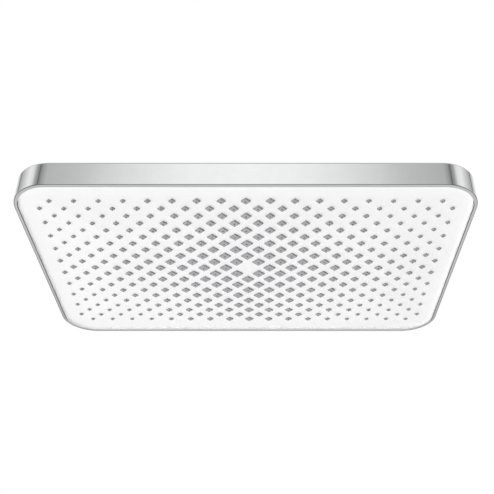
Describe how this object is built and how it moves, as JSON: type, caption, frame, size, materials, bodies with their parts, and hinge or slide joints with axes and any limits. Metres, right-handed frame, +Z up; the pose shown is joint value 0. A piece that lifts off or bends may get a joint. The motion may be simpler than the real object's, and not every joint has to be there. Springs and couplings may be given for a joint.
{
  "type": "rectangular shower head",
  "caption": "Rectangular overhead shower head: chrome rim and back, white face with a diamond field of grey silicone nozzles, ball joint with half-inch pipe thread on top.",
  "frame": {"origin": "centre of the inlet thread's mouth, at the top of the hexagon socket", "axes": "+Z up along the inlet thread, X along the long side of the head, Y along the short side, the spray face looks down"},
  "size_m": [0.3, 0.196, 0.067],
  "materials": {
    "chrome_shell": "chrome-plated ABS, mirror bright",
    "white_face": "satin white ABS",
    "grey_silicone": "matt silicone",
    "inner_plastic": "plain ABS",
    "screw_steel": "stainless steel",
    "black_rubber": "EPDM rubber",
    "bare_brass": "plain turned brass",
    "chrome_brass": "chrome-plated brass",
    "bearing_plastic": "acetal"
  },
  "bodies": {
    "inlet": {"swivel_ball": "chrome_brass", "filter_washer": "black_rubber", "filter_screen": "screw_steel", "flow_limiter": "bearing_plastic"},
    "seal": {"ball_seal": "black_rubber"},
    "bearing": {"slip_ring": "bearing_plastic"},
    "head": {"rear_shell": "chrome_shell", "face_plate": "white_face", "nozzle_mat": "grey_silicone", "chamber_cover": "inner_plastic", "cover_screws": "screw_steel", "centre_screw": "screw_steel", "hub_gasket": "black_rubber", "locknut": "bare_brass", "union_nut": "chrome_brass"}
  },
  "joints": [
    {"name": "head_turn", "type": "hinge", "parent": "inlet", "child": "seal", "pos_m": [0, 0, -0.032], "axis": [0, 0, 1], "continuous": true},
    {"name": "head_roll", "type": "hinge", "parent": "seal", "child": "bearing", "pos_m": [0, 0, -0.032], "axis": [0, 1, 0], "range_deg": [-10, 10]},
    {"name": "head_pitch", "type": "hinge", "parent": "bearing", "child": "head", "pos_m": [0, 0, -0.032], "axis": [1, 0, 0], "range_deg": [-10, 10]}
  ]
}
